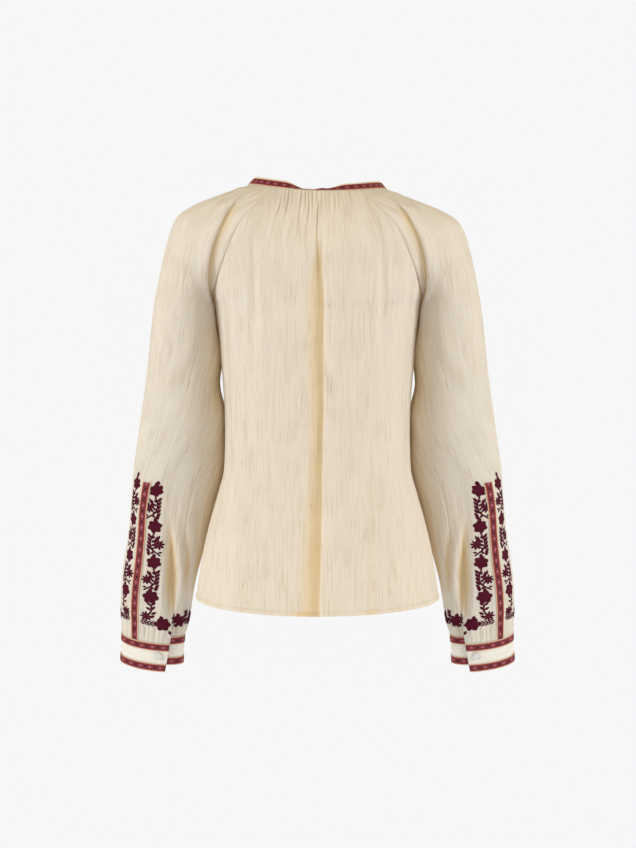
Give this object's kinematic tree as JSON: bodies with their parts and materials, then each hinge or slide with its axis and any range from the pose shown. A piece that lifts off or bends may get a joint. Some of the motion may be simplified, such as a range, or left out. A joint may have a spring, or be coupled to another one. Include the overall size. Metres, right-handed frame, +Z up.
{
  "type": "embroidered folk blouse",
  "caption": "Raglan-sleeved cotton blouse gathered into a ribboned neck band and buttoned cuffs, with ribbon and flower embroidery on the lower sleeves.",
  "frame": {"origin": "on the centre plane, midway between the front and back of the neck, at the height where the neck band is sewn on at the sides; the wearer's neck and shoulders hold the blouse here", "axes": "+Z is up, the front of the blouse faces -Y and its back faces +Y, the left sleeve is at +X"},
  "size_m": [0.5696, 0.2629, 0.6973],
  "materials": {
    "cotton_gauze": "matte, crinkled",
    "doubled_gauze": "matte",
    "woven_ribbon": "matte, patterned weave",
    "pearl_button": "pearly gloss"
  },
  "bodies": {
    "root": {"back_panel": "cotton_gauze", "front_panel": "cotton_gauze", "sleeve_left": "cotton_gauze", "sleeve_right": "cotton_gauze", "neck_band": "doubled_gauze", "neck_ribbon": "woven_ribbon", "cuff_left": "doubled_gauze", "cuff_right": "doubled_gauze", "cuff_ribbon_top_left": "woven_ribbon", "cuff_ribbon_top_right": "woven_ribbon", "cuff_ribbon_bottom_left": "woven_ribbon", "cuff_ribbon_bottom_right": "woven_ribbon", "sleeve_ribbon_left": "woven_ribbon", "sleeve_ribbon_right": "woven_ribbon", "cuff_button_left": "pearl_button", "cuff_button_right": "pearl_button"}
  },
  "joints": []
}
